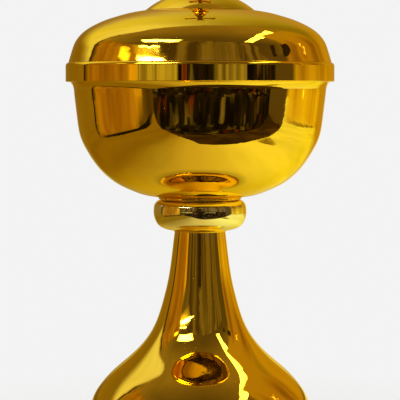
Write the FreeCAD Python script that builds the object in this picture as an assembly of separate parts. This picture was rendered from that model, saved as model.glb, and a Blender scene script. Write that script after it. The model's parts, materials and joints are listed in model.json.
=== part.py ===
import FreeCAD, Part
import math
import os

# A covered ciborium of spun and turned brass, in millimetres. +Z is up, and the origin is the centre
# of the foot's underside. Every round piece is a section in the XZ plane, turned about Z.

V = FreeCAD.Vector

# ---------------------------------------------------------------- driving dimensions
SHEET = 1.0  # spun sheet of the foot, lid dome and crown
CUP_SHEET = 1.2  # spun sheet of the bowl and knop

FOOT_R = 59.0  # base ring, outside
FOOT_RING_WIDTH = 8.2
FOOT_RING_H = 3.0
FOOT_BULGE_R = 52.6
FOOT_BULGE_Z = 6.4
BRIM_INSET = 0.6  # brim edge, back from the base ring's edge
BRIM_COVE = 1.6

STEM_TOP_R = 12.15
STEM_TOP_Z = 92.2
STEM_DISC_H = 3.0
STEM_COLLAR_R = 12.6
STEM_COLLAR_H = 0.7

KNOP_TOP_Z = 107.4
KNOP_TOP_R = 18.6  # edge of the flat top
KNOP_BOTTOM_R = 12.2  # edge of the flat underside

NECK_R = 16.8  # groove between the knop and the bowl
NECK_H = 0.4
BASE_DISC_R = 19.9  # disc under the bowl
BASE_DISC_H = 1.1

CUP_R = 60.2  # bowl wall at the rim, outside
LIP_Z = 170.9
CUP_FLAT_R = 18.5  # flat underside of the bowl

BAND_R = 64.0  # lid band, outside
BAND_BOTTOM_Z = 163.7
BAND_TOP_Z = 172.8
BAND_WALL = 1.2
BAND_LIP = 1.0  # height of the turned-in lower edge
BAND_ROUND = 1.6  # rounding of the band's top edge
LID_REST_GAP = 0.15  # bowl lip to lid seat, with the lid on
SEAT_TUBE_R = 58.4  # the part of the lid that drops into the bowl
SEAT_TUBE_DEPTH = 8.0

CROWN_R = 26.0  # raised centre of the lid, at its crease
CROWN_EDGE_SLOPE = math.radians(40)
CREASE_Z = 197.6
DOME_TOP_Z = 199.3
DOME_FLAT_R = 8.0  # flat seat in the middle of the dome, under the crown

COLLAR_R = 7.2  # finial's base
COLLAR_H = 3.0
BALL_R = 4.9
BALL_FLAT_R = 2.8  # flats on the ball's top and underside
CROSS_H = 31.0
CROSS_SPAN = 21.0
CROSS_THICK = 3.0
ARM_NARROW = 3.4
ARM_WIDE = 6.6
ARM_HOLLOW = 0.7  # how far the arms' ends are dished

TIE_R = 3.0  # M6 tie rod
STUD_R = 2.0  # M4 finial stud
THREAD_GAP = 0.05  # between a thread's crest and the hole that it fills
CLEAR = 0.2  # between a rod and a plain hole

# ---------------------------------------------------------------- derived places
BRIM_Z = FOOT_RING_H + SHEET
KNOP_BOTTOM_Z = STEM_TOP_Z + STEM_COLLAR_H
NECK_TOP_Z = KNOP_TOP_Z + NECK_H
CUP_BOTTOM_Z = NECK_TOP_Z + BASE_DISC_H
SEAT_Z = LIP_Z + LID_REST_GAP
SEAT_TOP_Z = BAND_TOP_Z - SHEET
CROWN_SPHERE_R = CROWN_R / math.sin(CROWN_EDGE_SLOPE)
CROWN_TOP_Z = CREASE_Z + CROWN_SPHERE_R * (1 - math.cos(CROWN_EDGE_SLOPE))
COLLAR_TOP_Z = CROWN_TOP_Z + COLLAR_H
BALL_HALF_H = math.sqrt(BALL_R**2 - BALL_FLAT_R**2)
BALL_Z = COLLAR_TOP_Z + BALL_HALF_H
CROSS_BASE_Z = BALL_Z + BALL_HALF_H

# ---------------------------------------------------------------- outlines, (radius, height)
FOOT_OUTLINE = [
    (STEM_TOP_R, STEM_TOP_Z),
    (13.3, 82.5),
    (14.9, 71.0),
    (17.55, 59.5),
    (21.4, 47.9),
    (25.0, 41.5),
    (30.5, 35.0),
    (36.6, 29.5),
    (42.3, 24.5),
    (47.2, 19.1),
    (50.9, 13.5),
    (FOOT_BULGE_R, FOOT_BULGE_Z),
]
KNOP_OUTLINE = [
    (KNOP_TOP_R, KNOP_TOP_Z),
    (20.0, 107.05),
    (21.1, 106.2),
    (21.85, 105.05),
    (22.15, 103.4),
    (22.25, 101.6),
    (22.0, 99.5),
    (21.3, 97.5),
    (20.2, 95.65),
    (18.3, 94.2),
    (KNOP_BOTTOM_R, KNOP_BOTTOM_Z),
]
CUP_OUTLINE = [
    (CUP_FLAT_R, CUP_BOTTOM_Z),
    (23.1, 109.2),
    (27.6, 110.1),
    (32.8, 112.0),
    (38.9, 114.85),
    (44.25, 118.65),
    (48.1, 122.45),
    (53.45, 130.1),
    (57.1, 137.8),
    (58.5, 145.4),
    (59.4, 153.1),
    (59.95, 158.0),
    (CUP_R, 162.0),
]
DOME_OUTLINE = [
    (DOME_FLAT_R, DOME_TOP_Z),
    (17.0, 198.9),
    (CROWN_R, CREASE_Z),
    (33.4, 196.35),
    (40.05, 194.55),
    (45.6, 192.7),
    (50.1, 190.65),
    (54.6, 187.95),
    (57.65, 185.1),
    (59.95, 181.45),
    (61.15, 177.9),
    (61.9, 175.5),
    (62.65, BAND_TOP_Z),
]


# ---------------------------------------------------------------- drawing tools
def at(point):
    """A (radius, height) point in the section plane."""
    return V(point[0], 0, point[1])


def line(a, b):
    return Part.LineSegment(at(a), at(b)).toShape()


def arc(a, middle, b):
    return Part.Arc(at(a), at(middle), at(b)).toShape()


def spline(points):
    """A smooth curve through the points."""
    made = Part.BSplineCurve()
    made.interpolate(Points=[at(p) for p in points])
    return made


def inner_spline(outer, thickness):
    """The curve that lies a thickness to the right of a spline as it runs, and that curve's two ends."""
    count = 24
    first, last = outer.FirstParameter, outer.LastParameter
    points = []
    for i in range(count + 1):
        u = first + (last - first) * i / count
        here, along = outer.value(u), outer.tangent(u)[0]
        points.append((here.x + along.z * thickness, here.z - along.x * thickness))
    return spline(points), points[0], points[-1]


def turned(*edges):
    """A closed section turned about Z."""
    face = Part.Face(Part.Wire(Part.__sortEdges__(list(edges))))
    solid = face.revolve(V(0, 0, 0), V(0, 0, 1), 360)
    if solid.Volume < 0:
        solid.reverse()
    return solid


def rounded_edges(corners):
    """The edges of a polygon of (radius, height, corner radius)."""
    starts, ends, arcs = [], [], []
    for i, (r, z, corner) in enumerate(corners):
        here = at((r, z))
        before = (at(corners[i - 1][:2]) - here).normalize()
        after = (at(corners[(i + 1) % len(corners)][:2]) - here).normalize()
        if corner == 0:
            ends.append(here)
            starts.append(here)
            continue
        half = before.getAngle(after) / 2
        back = corner / math.tan(half)
        centre = here + (before + after).normalize() * (corner / math.sin(half))
        middle = centre + (here - centre).normalize() * corner
        ends.append(here + before * back)
        starts.append(here + after * back)
        arcs.append(Part.Arc(ends[-1], middle, starts[-1]).toShape())
    runs = [
        Part.LineSegment(starts[i - 1], ends[i]).toShape() for i in range(len(corners))
    ]
    return runs + arcs


def ring(*corners):
    """A turned ring whose section is a polygon of (radius, height, corner radius)."""
    return turned(*rounded_edges(corners))


def plain_ring(inner, outer, bottom, top, corner=0):
    return ring(
        (inner, bottom, 0), (outer, bottom, corner), (outer, top, corner), (inner, top, 0)
    )


def above(solid, z):
    """The part of a solid above a level."""
    return solid.common(Part.makeCylinder(2 * BAND_R, 2 * CROWN_TOP_Z, V(0, 0, z)))


def rod(radius, bottom, top, chamfer):
    return ring(
        (0, bottom, 0),
        (radius - chamfer, bottom, 0),
        (radius, bottom + chamfer, 0),
        (radius, top - chamfer, 0),
        (radius - chamfer, top, 0),
        (0, top, 0),
    )


def hex_nut(across_flats, hole, bottom, top):
    """A hexagon nut with its corners turned down at both ends."""
    corner_r = across_flats / math.sqrt(3)
    turn = math.radians(60)
    corners = [
        V(corner_r * math.cos(i * turn), corner_r * math.sin(i * turn), bottom)
        for i in range(6)
    ]
    prism = Part.Face(Part.makePolygon(corners + corners[:1])).extrude(
        V(0, 0, top - bottom)
    )
    turned_down = 0.35 * (corner_r - across_flats / 2) + 0.25
    flat_r = across_flats / 2 - 0.1
    blank = ring(
        (hole, bottom, 0),
        (flat_r, bottom, 0),
        (corner_r, bottom + turned_down, 0),
        (corner_r, top - turned_down, 0),
        (flat_r, top, 0),
        (hole, top, 0),
    )
    return prism.common(blank)


# ---------------------------------------------------------------- foot and stem
def base_ring():
    inner = FOOT_R - FOOT_RING_WIDTH
    return ring(
        (inner, 0, 0.3), (FOOT_R, 0, 0.6), (FOOT_R, FOOT_RING_H, 1.0), (inner, FOOT_RING_H, 0.3)
    )


def foot_shell():
    """The stem and the foot, spun in one piece, with a coved brim that lies on the base ring."""
    brim_r = FOOT_R - BRIM_INSET
    edge = 0.4
    cove_top = BRIM_Z + BRIM_COVE
    cove_mid = BRIM_COVE * (1 - math.sqrt(0.5))
    outside = spline(FOOT_OUTLINE)
    inside, top, bottom = inner_spline(outside, SHEET)
    shell = turned(
        outside.toShape(),
        line((FOOT_BULGE_R, FOOT_BULGE_Z), (FOOT_BULGE_R, cove_top)),
        arc(
            (FOOT_BULGE_R, cove_top),
            (FOOT_BULGE_R + cove_mid, BRIM_Z + cove_mid),
            (FOOT_BULGE_R + BRIM_COVE, BRIM_Z),
        ),
        line((FOOT_BULGE_R + BRIM_COVE, BRIM_Z), (brim_r - edge, BRIM_Z)),
        arc(
            (brim_r - edge, BRIM_Z),
            (brim_r - edge * (1 - math.sqrt(0.5)), BRIM_Z - edge * (1 - math.sqrt(0.5))),
            (brim_r, BRIM_Z - edge),
        ),
        line((brim_r, BRIM_Z - edge), (brim_r, FOOT_RING_H)),
        line((brim_r, FOOT_RING_H), (bottom[0], FOOT_RING_H)),
        line((bottom[0], FOOT_RING_H), bottom),
        inside.toShape(),
        line(top, (STEM_TOP_R, STEM_TOP_Z)),
    )
    below_stem_top = Part.makeCylinder(2 * FOOT_R, STEM_TOP_Z)
    return shell.common(below_stem_top)


def stem_disc():
    """Closes the top of the stem and centres the tie rod."""
    return plain_ring(
        TIE_R + CLEAR, STEM_TOP_R - SHEET - 0.25, STEM_TOP_Z - STEM_DISC_H, STEM_TOP_Z
    )


def stem_collar():
    return plain_ring(TIE_R + CLEAR, STEM_COLLAR_R, STEM_TOP_Z, KNOP_BOTTOM_Z, 0.3)


# ---------------------------------------------------------------- tie rod and its fastening
WASHER_BOTTOM_Z = 64.0
WASHER_TOP_Z = 66.0
WASHER_R = 15.25  # at its underside; its edge tapers with the stem's bore
WASHER_TAPER = 0.4
TIE_NUT_WIDTH = 10.0  # across the flats
TIE_NUT_H = 5.0
TIE_END_Z = 54.5
SOCKET_END_Z = 98.2
SOCKET_HOLE_TOP_Z = 106.6
ROD_TIP_GAP = 0.4


def tie_rod():
    return rod(TIE_R, TIE_END_Z, SOCKET_HOLE_TOP_Z - ROD_TIP_GAP, 0.6)


def tie_washer():
    """A disc with a tapered edge that wedges in the stem's bore, for the nut to pull on."""
    return ring(
        (TIE_R + CLEAR, WASHER_BOTTOM_Z, 0),
        (WASHER_R, WASHER_BOTTOM_Z, 0.3),
        (WASHER_R - WASHER_TAPER, WASHER_TOP_Z, 0.3),
        (TIE_R + CLEAR, WASHER_TOP_Z, 0),
    )


def tie_nut():
    return hex_nut(TIE_NUT_WIDTH, TIE_R + THREAD_GAP, WASHER_BOTTOM_Z - TIE_NUT_H, WASHER_BOTTOM_Z)


# ---------------------------------------------------------------- knop
SOCKET_R = 7.0


def knop():
    """A hollow ring with a flat top and a flat underside, bored for the socket and the tie rod."""
    outside = spline(KNOP_OUTLINE)
    inside, top, bottom = inner_spline(outside, CUP_SHEET)
    bore, rod_hole = SOCKET_R + CLEAR, TIE_R + CLEAR
    return turned(
        line((bore, KNOP_TOP_Z), (KNOP_TOP_R, KNOP_TOP_Z)),
        outside.toShape(),
        line((KNOP_BOTTOM_R, KNOP_BOTTOM_Z), (rod_hole, KNOP_BOTTOM_Z)),
        line((rod_hole, KNOP_BOTTOM_Z), (rod_hole, bottom[1])),
        line((rod_hole, bottom[1]), bottom),
        inside.toShape(),
        line(top, (bore, top[1])),
        line((bore, top[1]), (bore, KNOP_TOP_Z)),
    )


def knop_sleeve():
    """Carries the tie rod's pull from the bowl's socket to the stem, inside the hollow knop."""
    return plain_ring(
        TIE_R + CLEAR, SOCKET_R - 1.5, KNOP_BOTTOM_Z + CUP_SHEET + 0.1, SOCKET_END_Z
    )


# ---------------------------------------------------------------- bowl
SOCKET_FLANGE_R = 9.0


def neck_collar():
    """The narrow ring that leaves a groove between the knop and the bowl."""
    return plain_ring(SOCKET_FLANGE_R + CLEAR, NECK_R, KNOP_TOP_Z, NECK_TOP_Z)


def bowl_base_disc():
    return plain_ring(SOCKET_FLANGE_R + CLEAR, BASE_DISC_R, NECK_TOP_Z, CUP_BOTTOM_Z, 0.3)


def bowl_socket():
    """The flanged nut under the bowl that the tie rod screws into."""
    hole = TIE_R + THREAD_GAP
    return ring(
        (0, SOCKET_HOLE_TOP_Z, 0),
        (hole, SOCKET_HOLE_TOP_Z, 0),
        (hole, SOCKET_END_Z, 0),
        (SOCKET_R, SOCKET_END_Z, 0.5),
        (SOCKET_R, KNOP_TOP_Z, 0),
        (SOCKET_FLANGE_R, KNOP_TOP_Z, 0),
        (SOCKET_FLANGE_R, CUP_BOTTOM_Z, 0),
        (0, CUP_BOTTOM_Z, 0),
    )


def bowl():
    outside = spline(CUP_OUTLINE)
    inside, low, high = inner_spline(outside, -CUP_SHEET)
    floor_z = low[1]
    wall_in = CUP_R - CUP_SHEET
    lip = CUP_SHEET / 2
    return turned(
        line((0, CUP_BOTTOM_Z), (CUP_FLAT_R, CUP_BOTTOM_Z)),
        outside.toShape(),
        line((CUP_R, CUP_OUTLINE[-1][1]), (CUP_R, LIP_Z - lip)),
        arc((CUP_R, LIP_Z - lip), (CUP_R - lip, LIP_Z), (wall_in, LIP_Z - lip)),
        line((wall_in, LIP_Z - lip), high),
        inside.toShape(),
        line(low, (0, floor_z)),
        line((0, floor_z), (0, CUP_BOTTOM_Z)),
    )


def bowl_rim_moulding():
    """The coved ring soldered round the bowl just below the lid's band."""
    foot_z, edge_z, top_z, edge_r, edge = 160.4, 163.7, 165.6, 62.0, 0.4
    corner = edge * (1 - math.sqrt(0.5))
    inner = CUP_R + 0.02
    return turned(
        arc((inner, foot_z), (60.8, 162.3), (edge_r, edge_z)),
        line((edge_r, edge_z), (edge_r, top_z - edge)),
        arc((edge_r, top_z - edge), (edge_r - corner, top_z - corner), (edge_r - edge, top_z)),
        line((edge_r - edge, top_z), (inner, top_z)),
        line((inner, top_z), (inner, foot_z)),
    )


# ---------------------------------------------------------------- lid
def lid_band():
    """The band round the lid, with its edges turned in."""
    inner = BAND_R - BAND_WALL
    top_inner = BAND_R - 3.0
    return ring(
        (BAND_R, BAND_BOTTOM_Z, 0.35),
        (BAND_R, BAND_TOP_Z, BAND_ROUND),
        (top_inner, BAND_TOP_Z, 0),
        (top_inner, SEAT_TOP_Z, 0),
        (inner, SEAT_TOP_Z, 0),
        (inner, BAND_BOTTOM_Z + BAND_LIP, 0),
        (inner - 0.4, BAND_BOTTOM_Z + BAND_LIP, 0),
        (inner - 0.4, BAND_BOTTOM_Z, 0.2),
    )


def lid_seat_ring():
    """Rests on the bowl's lip, with a short tube that keeps the lid centred."""
    inner = SEAT_TUBE_R - SHEET
    plate_r = BAND_R - 1.3
    return ring(
        (inner, SEAT_Z - SEAT_TUBE_DEPTH, 0.3),
        (SEAT_TUBE_R, SEAT_Z - SEAT_TUBE_DEPTH, 0.5),
        (SEAT_TUBE_R, SEAT_Z, 0),
        (plate_r, SEAT_Z, 0),
        (plate_r, SEAT_TOP_Z, 0),
        (inner, SEAT_TOP_Z, 0.4),
    )


def lid_dome():
    """The lid's shoulder, with a flat seat in its middle for the finial's fastening."""
    outside = spline(DOME_OUTLINE)
    inside, top, bottom = inner_spline(outside, SHEET)
    hole, below = STUD_R + CLEAR, BAND_TOP_Z - SHEET
    shell = turned(
        line((hole, DOME_TOP_Z), (DOME_FLAT_R, DOME_TOP_Z)),
        outside.toShape(),
        line(DOME_OUTLINE[-1], (DOME_OUTLINE[-1][0], below)),
        line((DOME_OUTLINE[-1][0], below), (bottom[0], below)),
        line((bottom[0], below), bottom),
        inside.toShape(),
        line(top, (hole, top[1])),
        line((hole, top[1]), (hole, DOME_TOP_Z)),
    )
    return above(shell, BAND_TOP_Z)


def crown_z(radius, drop=0.0):
    """Height of the crown's outside at a radius, or of the surface that lies drop inside it."""
    sphere = CROWN_SPHERE_R - drop
    return CROWN_TOP_Z - CROWN_SPHERE_R + math.sqrt(sphere**2 - radius**2)


def lid_crown():
    """The raised centre of the lid, a cap that stands on the dome."""
    hole, middle, inner = STUD_R + CLEAR, CROWN_R * 0.55, CROWN_R - 1.25
    foot_out = (CROWN_R, CREASE_Z + 0.06)
    foot_in = (inner, CREASE_Z + 0.3)
    return turned(
        arc((hole, crown_z(hole)), (middle, crown_z(middle)), foot_out),
        line(foot_out, foot_in),
        arc(foot_in, (middle, crown_z(middle, SHEET)), (hole, crown_z(hole, SHEET))),
        line((hole, crown_z(hole, SHEET)), (hole, crown_z(hole))),
    )


# ---------------------------------------------------------------- finial
STUD_TOP_Z = CROSS_BASE_Z + 3.6
STUD_BELOW_NUT = 2.6
LID_WASHER_TOP_Z = DOME_TOP_Z - SHEET
LID_WASHER_H = 1.0
LID_NUT_TOP_Z = LID_WASHER_TOP_Z - LID_WASHER_H
LID_NUT_H = 3.2


def finial_collar():
    """A beaded and coved base that beds on the crown."""
    hole, gap, neck_r, step = STUD_R + CLEAR, 0.03, 3.5, 0.8
    seat = [(r, crown_z(r) + gap) for r in (hole, COLLAR_R / 2, COLLAR_R)]
    shoulder_z = CROWN_TOP_Z + 0.9
    bead = (COLLAR_R + 0.35, (seat[2][1] + shoulder_z) / 2)
    return turned(
        arc(*seat),
        arc(seat[2], bead, (COLLAR_R, shoulder_z)),
        line((COLLAR_R, shoulder_z), (COLLAR_R - step, shoulder_z)),
        arc(
            (COLLAR_R - step, shoulder_z),
            (neck_r + 0.95, shoulder_z + 0.75),
            (neck_r, COLLAR_TOP_Z),
        ),
        line((neck_r, COLLAR_TOP_Z), (hole, COLLAR_TOP_Z)),
        line((hole, COLLAR_TOP_Z), seat[0]),
    )


def finial_ball():
    hole, bottom, top = STUD_R + CLEAR, COLLAR_TOP_Z, CROSS_BASE_Z
    return turned(
        line((hole, bottom), (BALL_FLAT_R, bottom)),
        arc((BALL_FLAT_R, bottom), (BALL_R, BALL_Z), (BALL_FLAT_R, top)),
        line((BALL_FLAT_R, top), (hole, top)),
        line((hole, top), (hole, bottom)),
    )


def flared_arm(centre, along, across, length):
    """One arm of the cross: it widens from the centre outwards and its end is slightly dished."""
    start, half, end = centre - V(0, CROSS_THICK / 2, 0), ARM_NARROW / 2, ARM_WIDE / 2

    def place(out, sideways):
        return start + along * out + across * sideways

    sides = []
    for side in (-1, 1):
        edge = Part.BSplineCurve()
        edge.interpolate(
            [place(0, side * half), place(0.55 * length, side * (half + 0.12)), place(length, side * end)]
        )
        sides.append(edge)
    tip = Part.Arc(place(length, -end), place(length - ARM_HOLLOW, 0), place(length, end))
    root = Part.LineSegment(place(0, -half), place(0, half))
    edges = [curve.toShape() for curve in (*sides, tip, root)]
    return Part.Face(Part.Wire(Part.__sortEdges__(edges))).extrude(V(0, CROSS_THICK, 0))


def cross_socket():
    """The turned foot of the cross, bored for the stud."""
    base = CROSS_BASE_Z
    return ring(
        (0, base, 0),
        (3.2, base, 0.2),
        (3.6, base + 0.9, 0.3),
        (2.9, base + 1.9, 0.3),
        (3.1, base + 3.4, 0.3),
        (1.6, base + 4.6, 0.3),
        (0, base + 4.6, 0),
    )


def finial_cross():
    """A cross with flared arms and a round boss, facing along Y, on a turned socket."""
    arm, boss_r, boss_stands_out = CROSS_SPAN / 2, 2.6, 0.5
    centre = V(0, 0, CROSS_BASE_Z + CROSS_H - arm)
    x, z = V(1, 0, 0), V(0, 0, 1)
    lower_arm = centre.z - CROSS_BASE_Z - 3.0
    boss = Part.makeCylinder(
        boss_r,
        CROSS_THICK + 2 * boss_stands_out,
        centre - V(0, CROSS_THICK / 2 + boss_stands_out, 0),
        V(0, 1, 0),
    )
    cross = flared_arm(centre, x, z, arm).fuse(
        [
            flared_arm(centre, x * -1, z, arm),
            flared_arm(centre, z, x, arm),
            flared_arm(centre, z * -1, x, lower_arm),
            boss,
            cross_socket(),
        ]
    )
    bore = Part.makeCylinder(
        STUD_R + THREAD_GAP, STUD_TOP_Z + CLEAR - CROSS_BASE_Z, V(0, 0, CROSS_BASE_Z)
    )
    return cross.removeSplitter().cut(bore)


def finial_stud():
    return rod(STUD_R, LID_NUT_TOP_Z - LID_NUT_H - STUD_BELOW_NUT, STUD_TOP_Z, 0.4)


def finial_washer():
    return plain_ring(STUD_R + CLEAR, 7.0, LID_NUT_TOP_Z, LID_WASHER_TOP_Z, 0.2)


def finial_nut():
    return hex_nut(7.0, STUD_R + THREAD_GAP, LID_NUT_TOP_Z - LID_NUT_H, LID_NUT_TOP_Z)


# ---------------------------------------------------------------- export
NODES = [
    base_ring,
    foot_shell,
    stem_disc,
    stem_collar,
    tie_rod,
    tie_washer,
    tie_nut,
    knop,
    knop_sleeve,
    neck_collar,
    bowl_base_disc,
    bowl_socket,
    bowl,
    bowl_rim_moulding,
    lid_band,
    lid_seat_ring,
    lid_dome,
    lid_crown,
    finial_collar,
    finial_ball,
    finial_cross,
    finial_stud,
    finial_washer,
    finial_nut,
]

os.makedirs("parts", exist_ok=True)
for make in NODES:
    shape = make()
    box = shape.BoundBox
    print(
        f"{make.__name__:20s} valid {shape.isValid()} solids {len(shape.Solids)} "
        f"volume {shape.Volume:9.1f} r {box.XMax:6.2f} z {box.ZMin:7.2f} to {box.ZMax:7.2f}"
    )
    shape.exportStep(f"parts/{make.__name__}.step")
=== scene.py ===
import json
import math

import bpy
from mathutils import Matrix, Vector

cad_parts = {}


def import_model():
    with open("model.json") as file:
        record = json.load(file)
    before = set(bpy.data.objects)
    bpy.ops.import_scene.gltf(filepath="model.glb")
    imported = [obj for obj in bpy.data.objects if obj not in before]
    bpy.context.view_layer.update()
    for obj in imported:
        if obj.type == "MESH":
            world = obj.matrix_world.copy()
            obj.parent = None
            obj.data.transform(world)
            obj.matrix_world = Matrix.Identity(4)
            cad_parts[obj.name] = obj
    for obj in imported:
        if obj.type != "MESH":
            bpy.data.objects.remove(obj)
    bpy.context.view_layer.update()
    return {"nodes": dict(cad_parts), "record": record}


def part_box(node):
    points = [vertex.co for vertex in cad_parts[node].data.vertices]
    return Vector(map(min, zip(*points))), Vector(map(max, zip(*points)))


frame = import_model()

# A gold-plated ciborium, mirror polished, in a small studio. The part's frame is in metres, with +Z up and
# the camera on the -Y side, so left is -X. Nearly all of the look comes from what the metal reflects, so the
# studio is built as a set of glowing cards round the vessel that the camera itself doesn't see.

# ---------------------------------------------------------------- places, from the frame
BAND_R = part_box("lid_band")[1].x
FOOT_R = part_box("base_ring")[1].x
KNOP_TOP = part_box("knop")[1].z

# ---------------------------------------------------------------- camera
DISTANCE = 0.9
EYE_HEIGHT = 0.1587
AIM_HEIGHT = KNOP_TOP - 0.0002
SEEN_WIDTH = 2.995 * BAND_R  # width of the picture at the vessel's axis
SENSOR = 36.0

# ---------------------------------------------------------------- places in the studio
PAPER_LEVEL = -0.001  # just under the vessel's foot
BACKDROP_Y = 0.35  # the paper that hangs behind the vessel
CURL_Y = 0.33  # where the paper curls up, just in front of the backdrop
CURL_TOP = 0.17
ROOM_HALF = 4.0  # from the vessel to the room's side walls and its back
FAR_Y = -1.8  # the wall behind the camera
ROOM_FLOOR = -0.75
SHELF_TOP = 0.28
CEILING = 2.2
TUBE_HEIGHT = 1.5  # lamps that hang under the ceiling
ITEMS_LOW, ITEMS_HIGH = 0.15, 0.24  # the pale row of items on the far shelves
FLOOR_HALF = 30.0  # the pale floor that the camera sees

# ---------------------------------------------------------------- colours, linear
PAPER = 0.896  # the plain background's grey
GOLD = (0.98, 0.655, 0.05)
GOLD_WORN = (0.98, 0.74, 0.22)
GOLD_EDGE = (1.0, 0.88, 0.4)  # tint of the gold seen at a glancing angle
PALE_GOLD = (1.0, 0.86, 0.38)
PALE_GOLD_WORN = (1.0, 0.9, 0.5)
BRASS = (0.78, 0.55, 0.23)
STEEL = (0.56, 0.57, 0.58)
STEEL_WORN = (0.7, 0.7, 0.7)
WHITE = (1.0, 1.0, 1.0)
ROOM_GLOW = (0.1, 0.07, 0.04)  # the dim room where there is no card

# ---------------------------------------------------------------- heights of the metals' bumps
MIRROR_WAVE = 1.2e-6
MIRROR_MARKS = 2e-8
TURNED_WAVE = 1e-6
TURNED_MARKS = 1e-6


# ---------------------------------------------------------------- node helpers
def add(tree, kind, inputs=None, **settings):
    """A shader node. An input given as another node's output is linked, and any other value is set."""
    made = tree.nodes.new(kind)
    for name, value in settings.items():
        setattr(made, name, value)
    for name, value in (inputs or {}).items():
        if isinstance(value, bpy.types.NodeSocket):
            tree.links.new(value, made.inputs[name])
        else:
            made.inputs[name].default_value = value
    return made


def rgba(colour):
    return (*colour, 1.0)


def math_node(tree, operation, a, b=0.0):
    return add(tree, "ShaderNodeMath", {0: a, 1: b}, operation=operation).outputs[0]


def noise(tree, vector, scale, detail=2.0, roughness=0.5):
    inputs = {"Vector": vector, "Scale": scale, "Detail": detail, "Roughness": roughness}
    return add(tree, "ShaderNodeTexNoise", inputs).outputs["Fac"]


def remap(tree, value, span, result=(0.0, 1.0), easing="LINEAR"):
    """Turns a value's span into a range of results, held at both ends."""
    inputs = {
        "Value": value,
        "From Min": span[0],
        "From Max": span[1],
        "To Min": result[0],
        "To Max": result[1],
    }
    return add(tree, "ShaderNodeMapRange", inputs, interpolation_type=easing).outputs["Result"]


def mix_colour(tree, amount, a, b):
    made = add(tree, "ShaderNodeMix", {"Factor": amount}, data_type="RGBA")
    for socket, value in ((made.inputs[6], a), (made.inputs[7], b)):
        if isinstance(value, bpy.types.NodeSocket):
            tree.links.new(value, socket)
        else:
            socket.default_value = rgba(value)
    return made.outputs[2]


def new_material(name):
    material = bpy.data.materials.new(name)
    material.use_nodes = True
    material.node_tree.nodes.clear()
    return material, material.node_tree


def put_out(tree, shader):
    add(tree, "ShaderNodeOutputMaterial", {"Surface": shader})


def object_point(tree):
    return add(tree, "ShaderNodeTexCoord").outputs["Object"]


def length(tree, vector):
    return add(tree, "ShaderNodeVectorMath", {0: vector}, operation="LENGTH").outputs["Value"]


def turned_point(tree, point):
    """A point's radius and height as a vector, so that a texture made from it runs round the axis."""
    parts = add(tree, "ShaderNodeSeparateXYZ", {"Vector": point}).outputs
    flat = add(tree, "ShaderNodeCombineXYZ", {"X": parts["X"], "Y": parts["Y"]}).outputs[0]
    return add(tree, "ShaderNodeCombineXYZ", {"X": length(tree, flat), "Z": parts["Z"]}).outputs[0]


def along(tree, axis, low, high):
    """0 to 1 along an object axis, eased at both ends."""
    place = add(tree, "ShaderNodeSeparateXYZ", {"Vector": object_point(tree)}).outputs[axis]
    return remap(tree, place, (low, high), easing="SMOOTHSTEP")


def streaks(tree, scale, span, result=(0.0, 1.0), detail=3.0):
    """Noise stretched along the axes by a scale for each, with its span turned into a range of results."""
    point = add(tree, "ShaderNodeMapping", {"Vector": object_point(tree), "Scale": scale}).outputs[0]
    return remap(tree, noise(tree, point, 1.0, detail), span, result)


# ---------------------------------------------------------------- metals
def polished(name, colour, worn, edge_tint, rough, wave, marks):
    """Polished plate: slow colour change, smudges, faint turning marks, and paler metal along its edges."""
    material, tree = new_material(name)
    point = object_point(tree)
    tone = noise(tree, point, scale=24.0, detail=3.0)
    deeper = tuple(c * k for c, k in zip(colour, (0.96, 0.90, 0.8)))
    base = mix_colour(tree, remap(tree, tone, (0.35, 0.7)), colour, deeper)
    edge = add(tree, "ShaderNodeNewGeometry").outputs["Pointiness"]
    rubbed = remap(tree, edge, (0.53, 0.62), (0.0, 0.6))
    base = mix_colour(tree, rubbed, base, worn)
    smudge = noise(tree, point, scale=55.0, detail=5.0, roughness=0.6)
    roughness = remap(tree, smudge, (0.42, 0.75), rough)
    rings = math_node(tree, "MULTIPLY", noise(tree, turned_point(tree, point), scale=900.0), marks)
    slow = math_node(tree, "MULTIPLY", noise(tree, point, scale=38.0, detail=1.0), wave)
    height = math_node(tree, "ADD", rings, slow)
    bump = add(tree, "ShaderNodeBump", {"Height": height, "Strength": 1.0, "Distance": 1.0}).outputs[0]
    inputs = {
        "Base Color": base,
        "Metallic": 1.0,
        "Roughness": roughness,
        "Specular Tint": rgba(edge_tint),
        "Normal": bump,
    }
    put_out(tree, add(tree, "ShaderNodeBsdfPrincipled", inputs).outputs[0])
    return material


def metals():
    """The metal of each material slot."""
    mirror = {"edge_tint": GOLD_EDGE, "wave": MIRROR_WAVE, "marks": MIRROR_MARKS}
    turned = {"wave": TURNED_WAVE, "marks": TURNED_MARKS}
    return {
        "gold": polished("gold", GOLD, GOLD_WORN, rough=(0.02, 0.07), **mirror),
        "pale_gold": polished("pale_gold", PALE_GOLD, PALE_GOLD_WORN, rough=(0.03, 0.08), **mirror),
        "bare_brass": polished("bare_brass", BRASS, GOLD_WORN, GOLD_EDGE, rough=(0.18, 0.35), **turned),
        "steel": polished("steel", STEEL, STEEL_WORN, WHITE, rough=(0.2, 0.4), **turned),
    }


# ---------------------------------------------------------------- studio materials
def soft_border(tree, width):
    """1 inside a card and 0 at its border, from its UV square."""
    parts = add(tree, "ShaderNodeSeparateXYZ", {"Vector": add(tree, "ShaderNodeTexCoord").outputs["UV"]})
    inside = None
    for axis in ("X", "Y"):
        place = parts.outputs[axis]
        near = math_node(tree, "MINIMUM", place, math_node(tree, "SUBTRACT", 1.0, place))
        eased = remap(tree, near, (0.0, width))
        inside = eased if inside is None else math_node(tree, "MULTIPLY", inside, eased)
    return inside


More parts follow.
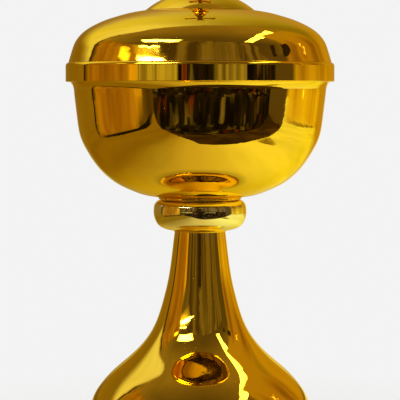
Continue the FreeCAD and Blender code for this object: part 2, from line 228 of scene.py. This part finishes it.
def put_out_glow(material, tree, shown, strength=1.0, border=0.0):
    """Ends a card's material: it glows with the shown colour and may melt away towards its border."""
    colour = shown if isinstance(shown, bpy.types.NodeSocket) else rgba(shown)
    lit = add(tree, "ShaderNodeEmission", {"Color": colour, "Strength": strength}).outputs[0]
    if border > 0.0:
        clear = add(tree, "ShaderNodeBsdfTransparent").outputs[0]
        inputs = {0: soft_border(tree, border), 1: clear, 2: lit}
        lit = add(tree, "ShaderNodeMixShader", inputs).outputs[0]
    put_out(tree, lit)
    material.cycles.emission_sampling = "NONE"
    return material


def streaked_light(name, scale, span, dark, pale, border=0.0):
    """A glow that wavers between two colours in streaks."""
    material, tree = new_material(name)
    return put_out_glow(material, tree, mix_colour(tree, streaks(tree, scale, span), dark, pale), 1.0, border)


def table_light():
    """White paper with painted light: dim amber on the left and bright on the right, painted shade of soft
    folds, and a painted shadow round the foot.
    """
    amber, plain, bright = (0.28, 0.175, 0.015), (0.66, 0.55, 0.2), (1.05, 1.05, 0.42)
    material, tree = new_material("table_light")
    # painted light: the paper dim and amber on the left, bright on the right
    shown = mix_colour(tree, along(tree, "X", low=-0.19, high=0.0), amber, plain)
    shown = mix_colour(tree, along(tree, "X", low=-0.02, high=0.15), shown, bright)
    # painted shade of soft folds in the paper
    soft_fold_shade = streaks(tree, (9.0, 3.0, 1.0), span=(0.35, 0.6), result=(0.82, 1.0))
    # painted shadow of the vessel on the paper round its foot
    reach = length(tree, object_point(tree))
    shade = remap(tree, reach, (FOOT_R, 1.3 * FOOT_R), (0.6, 1.0))
    return put_out_glow(material, tree, shown, math_node(tree, "MULTIPLY", soft_fold_shade, shade))


def backdrop_light():
    """The paper behind the vessel, with painted light: cool and bright at the upper left, amber at the right
    and far left.
    """
    cool, dim_amber = (0.93, 0.93, 1.0), (0.28, 0.22, 0.05)
    far_left = (0.36, 0.25, 0.05)
    low_left, low_right = (0.27, 0.18, 0.06), (0.6, 0.38, 0.05)
    material, tree = new_material("backdrop_light")
    # painted light on the white paper: its colour and brightness change across it
    rightward = along(tree, "X", low=-0.32, high=0.3)
    above = mix_colour(tree, rightward, cool, dim_amber)
    above = mix_colour(tree, along(tree, "X", low=-0.95, high=-0.7), far_left, above)
    below = mix_colour(tree, rightward, low_left, low_right)
    shown = mix_colour(tree, along(tree, "Z", low=0.28, high=0.46), below, above)
    shade = streaks(tree, (3.0, 1.0, 2.0), span=(0.3, 0.7), result=(0.85, 1.08))
    return put_out_glow(material, tree, shown, shade, border=0.08)


def amber_light():
    """A warm wooden wall of unevenly lit boards."""
    dark, pale = (0.26, 0.115, 0.01), (0.48, 0.25, 0.025)
    return streaked_light("amber_light", (0.5, 14.0, 6.0), (0.35, 0.65), dark, pale, border=0.07)


def right_light():
    """A warm wall with upright boards, bright at table height, dark above it and dim amber at its top."""
    low_dark, low_pale = (0.62, 0.38, 0.03), (0.9, 0.68, 0.04)
    high_dark, high_pale = (0.22, 0.1, 0.02), (0.46, 0.26, 0.03)
    top = (0.46, 0.28, 0.02)
    material, tree = new_material("right_light")
    boards = streaks(tree, (0.5, 4.0, 0.8), span=(0.35, 0.6))
    low = mix_colour(tree, boards, low_dark, low_pale)
    high = mix_colour(tree, boards, high_dark, high_pale)
    shown = mix_colour(tree, along(tree, "Z", low=0.06, high=0.26), low, high)
    shown = mix_colour(tree, along(tree, "Z", low=0.5, high=1.1), shown, top)
    return put_out_glow(material, tree, shown, border=0.06)


def ceiling_light():
    """A dim ceiling that is lighter towards the side behind the vessel."""
    dim, light = (0.11, 0.073, 0.035), (0.36, 0.25, 0.09)
    material, tree = new_material("ceiling_light")
    shown = mix_colour(tree, along(tree, "Y", low=-1.6, high=1.6), dim, light)
    shade = streaks(tree, (0.8, 0.8, 1.0), span=(0.3, 0.7), result=(0.75, 1.15))
    return put_out_glow(material, tree, shown, shade)


def far_wall_light():
    """The plain upper part of the room's far wall."""
    dark, pale = (0.07, 0.045, 0.02), (0.21, 0.15, 0.07)
    return streaked_light("far_wall_light", (2.6, 1.0, 0.4), (0.4, 0.6), dark, pale)


def tan_light(name, dark, pale):
    """A paler patch of the room, crossed by uprights of uneven brightness."""
    return streaked_light(name, (7.0, 7.0, 0.5), (0.4, 0.62), dark, pale, border=0.04)


def red_light():
    """Something red on a shelf."""
    dark, pale = (0.05, 0.012, 0.005), (0.2, 0.05, 0.02)
    return streaked_light("red_light", (14.0, 1.0, 5.0), (0.35, 0.65), dark, pale)


def floor_light():
    """The room's dark floor, seen past the edge of the table."""
    dark, pale = (0.03, 0.016, 0.006), (0.08, 0.045, 0.015)
    return streaked_light("floor_light", (1.5, 1.5, 1.0), (0.35, 0.65), dark, pale)


def shelves_light():
    """The dark lower part of the room: cells of odds and ends, most of them dark, some tan or red."""
    dark, tan, red = (0.018, 0.012, 0.006), (0.17, 0.135, 0.09), (0.12, 0.025, 0.01)
    material, tree = new_material("shelves_light")
    inputs = {"Vector": object_point(tree), "Scale": (6.0, 1.0, 10.0)}
    point = add(tree, "ShaderNodeMapping", inputs).outputs[0]
    cells = add(tree, "ShaderNodeTexVoronoi", {"Vector": point, "Scale": 1.0}, distance="CHEBYCHEV")
    pick = add(tree, "ShaderNodeSeparateXYZ", {"Vector": cells.outputs["Color"]}).outputs
    shown = mix_colour(tree, remap(tree, pick["X"], (0.76, 0.97)), dark, tan)
    shown = mix_colour(tree, remap(tree, pick["Y"], (0.94, 0.96)), shown, red)
    grain = streaks(tree, (5.0, 1.0, 7.0), span=(0.4, 0.65), result=(0.3, 1.2), detail=4.0)
    return put_out_glow(material, tree, shown, grain)


def fold_light():
    """The shaded side of a fold in the paper."""
    dark, pale = (0.22, 0.16, 0.03), (0.5, 0.42, 0.1)
    return streaked_light("fold_light", (30.0, 30.0, 1.0), (0.35, 0.65), dark, pale, border=0.2)


def post_light():
    """A nearly black upright."""
    dark, pale = (0.012, 0.008, 0.004), (0.04, 0.026, 0.012)
    return streaked_light("post_light", (20.0, 1.0, 3.0), (0.35, 0.65), dark, pale, border=0.1)


def sparkle_light():
    """A few small bright gleams on a warm wall."""
    warm, gleam = (0.4, 0.16, 0.03), (2.2, 1.6, 0.5)
    return streaked_light("sparkle_light", (40.0, 40.0, 22.0), (0.5, 0.62), warm, gleam, border=0.3)


def lamp_light(name, colour, strength, border):
    """A lamp, a window or plain lit paper, uneven in brightness."""
    material, tree = new_material(name)
    uneven = streaks(tree, (4.0, 4.0, 4.0), span=(0.3, 0.7), result=(0.7 * strength, 1.3 * strength))
    return put_out_glow(material, tree, colour, uneven, border)


# ---------------------------------------------------------------- studio cards
def sheet(name, corners, material):
    """A flat card with the given corners, seen only in reflections."""
    mesh = bpy.data.meshes.new(name)
    mesh.from_pydata([Vector(corner) for corner in corners], [], [tuple(range(len(corners)))])
    if len(corners) == 4:
        layer = mesh.uv_layers.new(name="square")
        for loop, place in zip(layer.data, ((0, 0), (1, 0), (1, 1), (0, 1))):
            loop.uv = place
    made = bpy.data.objects.new(name, mesh)
    bpy.context.scene.collection.objects.link(made)
    made.data.materials.append(material)
    made.visible_camera = False
    made.visible_shadow = False
    return made


def level_sheet(name, outline, height, material):
    """A level card from its outline's (x, y) points."""
    return sheet(name, [(x, y, height) for x, y in outline], material)


def card(name, corner, across, up, material):
    """A card from one corner and its two sides."""
    corner, across, up = Vector(corner), Vector(across), Vector(up)
    return sheet(name, (corner, corner + across, corner + across + up, corner + up), material)


def upright(name, start, end, low, high, material):
    """An upright card on the line from start to end, both (x, y), between two heights."""
    run = (end[0] - start[0], end[1] - start[1], 0.0)
    return card(name, (*start, low), run, (0.0, 0.0, high - low), material)


def strip(name, start, end, width, height, material):
    """A level card along a line from start to end, both (x, y)."""
    start, end = Vector((*start, height)), Vector((*end, height))
    run = end - start
    side = Vector((-run.y, run.x, 0.0)).normalized() * width
    return card(name, start - side / 2, run, side, material)


def lamp(name, azimuth, rise, distance, size, material, seen_from=0.15):
    """A card that faces the vessel's axis. Its azimuth is from the camera's side, positive to the right."""
    turn, lift = math.radians(azimuth), math.radians(rise)
    flat = Vector((math.sin(turn), -math.cos(turn), 0.0))
    away = flat * math.cos(lift) + Vector((0.0, 0.0, math.sin(lift)))
    across = Vector((flat.y, -flat.x, 0.0)).normalized() * size[0]
    up = away.cross(across).normalized() * size[1]
    middle = Vector((0.0, 0.0, seen_from)) + away * distance
    return card(name, middle - across / 2 - up / 2, across, up, material)


def paper_cards():
    """White paper under the vessel, with its near edge towards the camera, and the paper behind it."""
    near_left = ((-1.2, -1.2), (-0.6, -0.62), (-0.2, -0.37), (-0.09, -0.285))
    near_right = ((0.0, -0.187), (0.05, -0.17), (0.28, -0.14), (1.1, -0.12))
    far = ((1.1, 0.9), (-1.2, 0.9))
    level_sheet("table", near_left + near_right + far, PAPER_LEVEL, table_light())
    left, right = -0.91, 0.42
    left_top, right_top = 1.75, 0.85
    backdrop = ((left, 0.0), (right, 0.0), (right, right_top), (left, left_top))
    sheet("backdrop", [(x, BACKDROP_Y, z) for x, z in backdrop], backdrop_light())
    bright = lamp_light("bright_paper_light", (0.75, 0.65, 0.3), strength=1.0, border=0.25)
    upright("paper_behind_right", (0.04, CURL_Y), (0.16, CURL_Y), 0.0, CURL_TOP, bright)
    dim = lamp_light("dim_paper_light", (0.45, 0.39, 0.13), strength=1.0, border=0.25)
    upright("paper_behind_left", (-0.15, CURL_Y), (-0.04, CURL_Y), 0.0, CURL_TOP, dim)


def room_cards(post):
    """The room: ceiling, floor, and the wall behind the camera with shelves of odds and ends."""
    left, right = -ROOM_HALF, ROOM_HALF
    ceiling = ((left, -ROOM_HALF), (right, -ROOM_HALF), (right, ROOM_HALF), (left, ROOM_HALF))
    level_sheet("ceiling", ceiling, CEILING, ceiling_light())
    upright("far_wall", (left, FAR_Y), (right, FAR_Y), SHELF_TOP, CEILING, far_wall_light())
    upright("shelves", (left, FAR_Y), (right, FAR_Y), ROOM_FLOOR, SHELF_TOP, shelves_light())
    room_floor = ((left, FAR_Y), (right, FAR_Y), (right, ROOM_HALF), (left, ROOM_HALF))
    level_sheet("room_floor", room_floor, ROOM_FLOOR, floor_light())
    tan = tan_light("tan_light", (0.26, 0.19, 0.06), (0.56, 0.47, 0.16))
    upright("tan_wall", (-2.0, -1.4), (-0.55, -1.75), ITEMS_LOW, ITEMS_HIGH, tan)
    dim_tan = tan_light("dim_tan_light", (0.13, 0.1, 0.04), (0.36, 0.29, 0.13))
    upright("tan_items", (0.33, -1.74), (1.43, -1.74), ITEMS_LOW, ITEMS_HIGH, dim_tan)
    upright("red_item", (-0.46, -1.73), (-0.33, -1.73), 0.08, ITEMS_HIGH, red_light())
    upright("far_post", (-0.22, -1.75), (0.14, -1.75), 0.2, 0.7, post)


def left_cards(post):
    """The warm wall at the left, with a dark post, a cupboard, a painted shadow line along the foot of both,
    and a bright stripe.
    """
    upright("left_wall", (-0.4, 0.11), (-0.43, -0.29), 0.006, 0.456, amber_light())
    upright("left_post", (-0.38, 0.11), (-0.385, 0.13), 0.0, 0.46, post)
    cupboard = tan_light("cupboard_light", (0.05, 0.03, 0.004), (0.13, 0.08, 0.01))
    upright("left_cupboard", (-0.43, -0.29), (-0.44, -0.51), 0.006, 0.126, cupboard)
    # painted shadow: a dark line where the wall and the cupboard meet the paper
    upright("left_wall_shadow_line", (-0.37, 0.1), (-0.42, -0.46), 0.0, 0.027, post)
    stripe = lamp_light("stripe_light", (0.68, 0.38, 0.03), strength=1.0, border=0.2)
    upright("left_stripe", (-0.42, -0.25), (-0.43, -0.36), 0.03, 0.25, stripe)


def right_cards(post):
    """The warm wall at the right, painted shade of the paper's folds there, a painted shadow line along the
    wall's foot, and a few dark and bright spots.
    """
    upright("right_wall", (0.8, -0.12), (0.8, 0.98), -0.05, 1.4, right_light())
    # painted shade, for the folds in the paper and the shadow line along the wall's foot
    fold_shade = fold_light()
    # painted shadow: a thin dark line where the paper meets the right wall
    upright("right_wall_shadow_line", (0.78, -0.12), (0.78, 0.78), 0.0, 0.02, fold_shade)
    # painted shade of a fold in the paper, lying on the table
    fold_shade_outline = ((0.19, -0.15), (0.32, -0.14), (0.23, -0.03), (0.2, -0.04))
    level_sheet("paper_fold_shade", fold_shade_outline, 0.0, fold_shade)
    gleam = lamp_light("gleam_light", (1.0, 0.8, 0.15), strength=1.8, border=0.3)
    upright("right_gleam", (0.74, 0.17), (0.74, 0.2), 0.055, 0.115, gleam)
    lamp("right_dark", azimuth=84, rise=28, distance=0.72, size=(0.11, 0.08), material=post)
    lamp("right_dark_edge", azimuth=70, rise=29, distance=0.8, size=(0.05, 0.07), material=post)
    sparkle = sparkle_light()
    lamp("right_sparkle", azimuth=105, rise=24, distance=0.7, size=(0.08, 0.16), material=sparkle)


def tube_cards():
    """Lamps under the ceiling at both sides. The one on the right is slightly bent."""
    tube = lamp_light("tube_light", (1.0, 0.97, 0.8), strength=14.0, border=0.16)
    strip("tube_left", (-1.3, -0.6), (-0.42, -1.14), width=0.4, height=TUBE_HEIGHT, material=tube)
    strip("tube_far_left", (-1.55, -0.85), (-1.0, -1.25), width=0.09, height=1.24, material=tube)
    outer_side = ((1.3, -0.9), (1.05, 0.0), (0.93, 0.5))
    inner_side = ((0.72, 0.5), (0.8, 0.0), (1.08, -1.0))
    bare_tube = lamp_light("bare_tube_light", (1.0, 0.95, 0.6), strength=6.0, border=0.0)
    level_sheet("tube_right", outer_side + inner_side, TUBE_HEIGHT, bare_tube)


def window_cards():
    """The window at the left with its sill, the warm glow round it and a small bright spot beside it."""
    glow = lamp_light("glow_light", (1.0, 0.72, 0.1), strength=2.2, border=0.45)
    lamp("window_glow", azimuth=-51, rise=28, distance=2.2, size=(1.5, 0.55), material=glow)
    side = lamp_light("side_light", (1.0, 0.85, 0.1), strength=4.0, border=0.35)
    side_size = (0.085, 0.035)
    lamp("window_side", azimuth=-68, rise=23, distance=0.38, size=side_size, material=side, seen_from=0.18)
    window = lamp_light("window_light", (1.0, 0.98, 0.85), strength=26.0, border=0.3)
    lamp("window", azimuth=-44, rise=28.2, distance=2.0, size=(1.05, 0.15), material=window)
    lamp("window_sill", azimuth=-33, rise=26.9, distance=1.95, size=(0.95, 0.03), material=window)


def studio_cards():
    """The surroundings that the metal mirrors."""
    post = post_light()
    paper_cards()
    room_cards(post)
    left_cards(post)
    right_cards(post)
    tube_cards()
    window_cards()


# ---------------------------------------------------------------- floor, world and camera
def floor():
    """A plain pale floor that the camera sees: paper white, with a soft shade near the vessel."""
    material, tree = new_material("pale_floor")
    point = object_point(tree)
    grain = remap(tree, noise(tree, point, scale=180.0, detail=3.0), (0.3, 0.7), (0.78, 0.82))
    tint = mix_colour(tree, grain, (0.7, 0.7, 0.7), (0.95, 0.95, 0.95))
    lit = add(tree, "ShaderNodeBsdfDiffuse", {"Color": tint})
    plain = add(tree, "ShaderNodeEmission", {"Color": rgba((PAPER, PAPER, PAPER)), "Strength": 1.0})
    far = remap(tree, length(tree, point), (1.1 * FOOT_R, 3.0 * FOOT_R), (0.93, 1.0))
    mixed = add(tree, "ShaderNodeMixShader", {0: far, 1: lit.outputs[0], 2: plain.outputs[0]})
    put_out(tree, mixed.outputs[0])
    corners = [(x * FLOOR_HALF, y * FLOOR_HALF, 0.0) for x, y in ((-1, -1), (1, -1), (1, 1), (-1, 1))]
    mesh = bpy.data.meshes.new("floor")
    mesh.from_pydata(corners, [], [(0, 1, 2, 3)])
    made = bpy.data.objects.new("floor", mesh)
    bpy.context.scene.collection.objects.link(made)
    made.data.materials.append(material)
    made.visible_glossy = False


def world():
    """Paper white to the camera, and a dim warm room to everything else."""
    made = bpy.data.worlds.new("studio")
    made.use_nodes = True
    tree = made.node_tree
    tree.nodes.clear()
    seen = add(tree, "ShaderNodeLightPath").outputs["Is Camera Ray"]
    paper = add(tree, "ShaderNodeBackground", {"Color": rgba((PAPER, PAPER, PAPER)), "Strength": 1.0})
    room = add(tree, "ShaderNodeBackground", {"Color": rgba(ROOM_GLOW), "Strength": 1.0})
    mixed = add(tree, "ShaderNodeMixShader", {0: seen, 1: room.outputs[0], 2: paper.outputs[0]})
    add(tree, "ShaderNodeOutputWorld", {"Surface": mixed.outputs[0]})
    bpy.context.scene.world = made


def camera():
    """The camera, aimed at the vessel's axis. Its lens is set by how much is seen there."""
    data = bpy.data.cameras.new("camera")
    made = bpy.data.objects.new("camera", data)
    bpy.context.scene.collection.objects.link(made)
    made.location = (0.0, -DISTANCE, EYE_HEIGHT)
    aim = Vector((0.0, 0.0, AIM_HEIGHT))
    made.rotation_mode = "QUATERNION"
    made.rotation_quaternion = (aim - made.location).to_track_quat("-Z", "Y")
    data.sensor_width = SENSOR
    data.lens = SENSOR * (aim - made.location).length / SEEN_WIDTH
    data.clip_start = 0.01
    data.clip_end = 100.0
    bpy.context.scene.camera = made


def dress(slots):
    """Gives each CAD node the metal of its material slot in the record."""
    for part in frame["record"]["subparts"]:
        node = frame["nodes"][part["node"]]
        node.data.materials.clear()
        node.data.materials.append(slots[part["material_slot"]])


dress(metals())
studio_cards()
floor()
world()
camera()
bpy.context.scene.view_settings.view_transform = "Standard"
